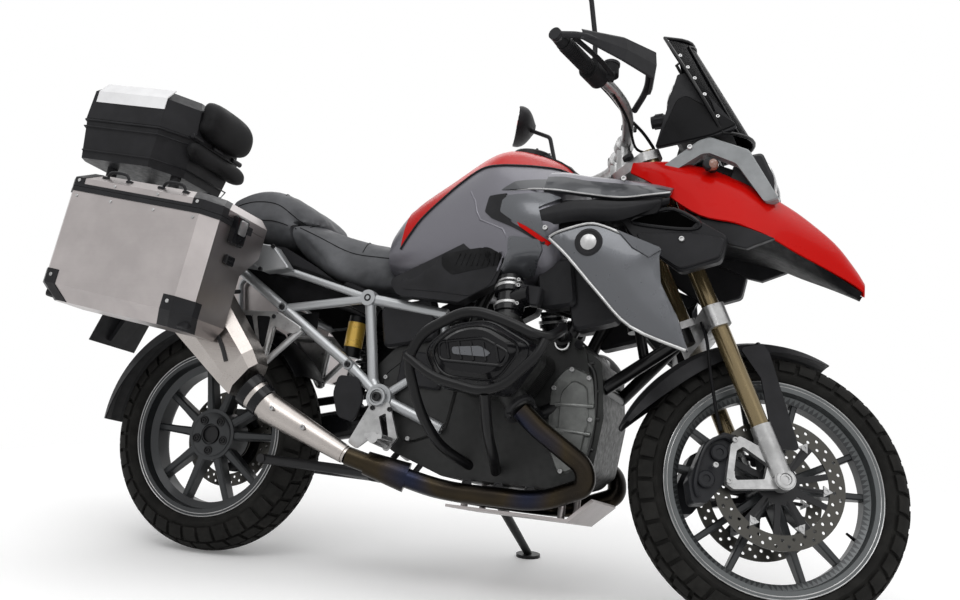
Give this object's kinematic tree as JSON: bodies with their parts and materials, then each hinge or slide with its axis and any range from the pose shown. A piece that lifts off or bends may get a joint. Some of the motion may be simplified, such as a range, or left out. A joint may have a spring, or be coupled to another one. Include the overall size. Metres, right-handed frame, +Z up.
{
  "type": "adventure motorcycle",
  "caption": "Large twin-cylinder adventure motorcycle with hard cases, leaning on its side stand; wheels, steering, stands and lids move.",
  "frame": {"origin": "middle of the underside of the bounding box, on the floor the machine parks on", "axes": "+X the way the machine faces, +Y to its left, +Z up from the floor"},
  "size_m": [2.3445, 1.0673, 1.6296],
  "materials": {
    "cast_alloy": "sand-cast alloy, satin, darkened by heat and dirt",
    "black_cover": "satin black paint",
    "header_steel": "stainless steel tinted by heat",
    "silencer_steel": "brushed stainless steel",
    "silver_frame": "silver powder coat",
    "black_frame": "black powder coat",
    "tyre": "block-tread rubber with dust",
    "wheel_paint": "dark grey cast wheel",
    "disc_steel": "ground steel with a carrier",
    "gold_tube": "gold anodised tube",
    "silver_alloy": "machined alloy",
    "caliper_black": "black anodised",
    "red_paint": "gloss red lacquer",
    "grey_paint": "dark grey metallic lacquer",
    "silver_paint": "silver metallic lacquer",
    "black_plastic": "grained black plastic",
    "seat_vinyl": "black grained seat cover",
    "lamp_glass": "clear lamp cover",
    "smoked_glass": "smoked screen",
    "grip_rubber": "black rubber and plastic",
    "hose_rubber": "black hose",
    "sheet_aluminium": "brushed sheet aluminium with rivets",
    "arch_grey": "grey satin paint",
    "dark_steel": "black painted steel"
  },
  "bodies": {
    "chassis": {"crankcase": "cast_alloy", "cylinders": "cast_alloy", "valve_covers": "black_cover", "throttle_bodies": "black_cover", "exhaust_pipes": "header_steel", "silencer": "silencer_steel", "rear_subframe": "silver_frame", "main_frame": "black_frame", "stand_brackets": "dark_steel", "swingarm": "black_cover", "rear_caliper": "caliper_black", "footrests": "silver_alloy", "rear_shock": "black_frame", "front_suspension": "black_frame", "tail_unit": "black_plastic", "luggage_carrier": "silver_frame", "pannier_racks": "silver_frame", "fuel_tank": "grey_paint", "rider_seat": "seat_vinyl", "pillion_seat": "seat_vinyl", "side_panels": "black_plastic", "radiators": "black_frame", "radiator_shrouds": "silver_paint", "tank_wings": "black_plastic", "headlamp": "lamp_glass", "nose_frame": "arch_grey", "beak": "red_paint", "instrument_panel": "black_plastic", "windscreen": "smoked_glass", "rear_mudguard": "black_plastic", "skid_plate": "sheet_aluminium", "crash_bars": "black_frame", "pannier_right": "sheet_aluminium", "pannier_left": "sheet_aluminium", "top_case": "black_plastic", "lower_pad": "grip_rubber"},
    "steering": {"fork_tubes": "gold_tube", "fork_legs": "silver_alloy", "yokes": "silver_alloy", "handlebar": "silver_alloy", "hand_controls": "grip_rubber", "handguards": "black_plastic", "mirrors": "black_plastic", "brake_calipers": "caliper_black", "front_mudguard": "black_plastic", "brake_hoses": "hose_rubber"},
    "front_wheel": {"front_wheel": "wheel_paint", "front_tyre": "tyre", "front_discs": "disc_steel"},
    "rear_wheel": {"rear_wheel": "wheel_paint", "rear_tyre": "tyre", "rear_disc": "disc_steel"},
    "side_stand": {"side_stand": "dark_steel"},
    "centre_stand": {"centre_stand": "dark_steel"},
    "pannier_lid_right": {"pannier_lid_right": "sheet_aluminium"},
    "pannier_lid_left": {"pannier_lid_left": "sheet_aluminium"},
    "top_case_lid": {"top_case_lid": "black_plastic", "backrest_pad": "grip_rubber"}
  },
  "joints": [
    {"name": "rear_wheel_spin", "type": "hinge", "parent": "chassis", "child": "rear_wheel", "pos_m": [-0.63679, -0.10351, 0.31425], "axis": [-0.0005, 0.9755, -0.2198], "continuous": true},
    {"name": "steering_turn", "type": "hinge", "parent": "chassis", "child": "steering", "pos_m": [0.82382, -0.10736, 0.29376], "axis": [-0.4263, 0.1986, 0.8825], "range_deg": [-65.6, 14.4]},
    {"name": "front_wheel_spin", "type": "hinge", "parent": "steering", "child": "front_wheel", "pos_m": [0.86567, -0.08137, 0.30812], "axis": [-0.3913, 0.8391, -0.3779], "continuous": true},
    {"name": "side_stand_fold", "type": "hinge", "parent": "chassis", "child": "side_stand", "pos_m": [0.13788, 0.03879, 0.22521], "axis": [0.0712, 0.7099, 0.7007], "range_deg": [0, 87.6]},
    {"name": "centre_stand_swing", "type": "hinge", "parent": "chassis", "child": "centre_stand", "pos_m": [-0.07708, -0.11743, 0.25118], "axis": [0.0005, -0.9755, 0.2198], "range_deg": [0, 100]},
    {"name": "pannier_lid_right_open", "type": "hinge", "parent": "chassis", "child": "pannier_lid_right", "pos_m": [-0.9147, -0.20932, 0.94615], "axis": [0.0005, -0.9755, 0.2198], "range_deg": [0, 95]},
    {"name": "pannier_lid_left_open", "type": "hinge", "parent": "chassis", "child": "pannier_lid_left", "pos_m": [-0.91495, 0.26284, 0.83975], "axis": [0.0005, -0.9755, 0.2198], "range_deg": [0, 95]},
    {"name": "top_case_lid_open", "type": "hinge", "parent": "chassis", "child": "top_case_lid", "pos_m": [-0.76533, 0.08525, 1.15216], "axis": [-0.0005, 0.9755, -0.2198], "range_deg": [0, 60]}
  ]
}
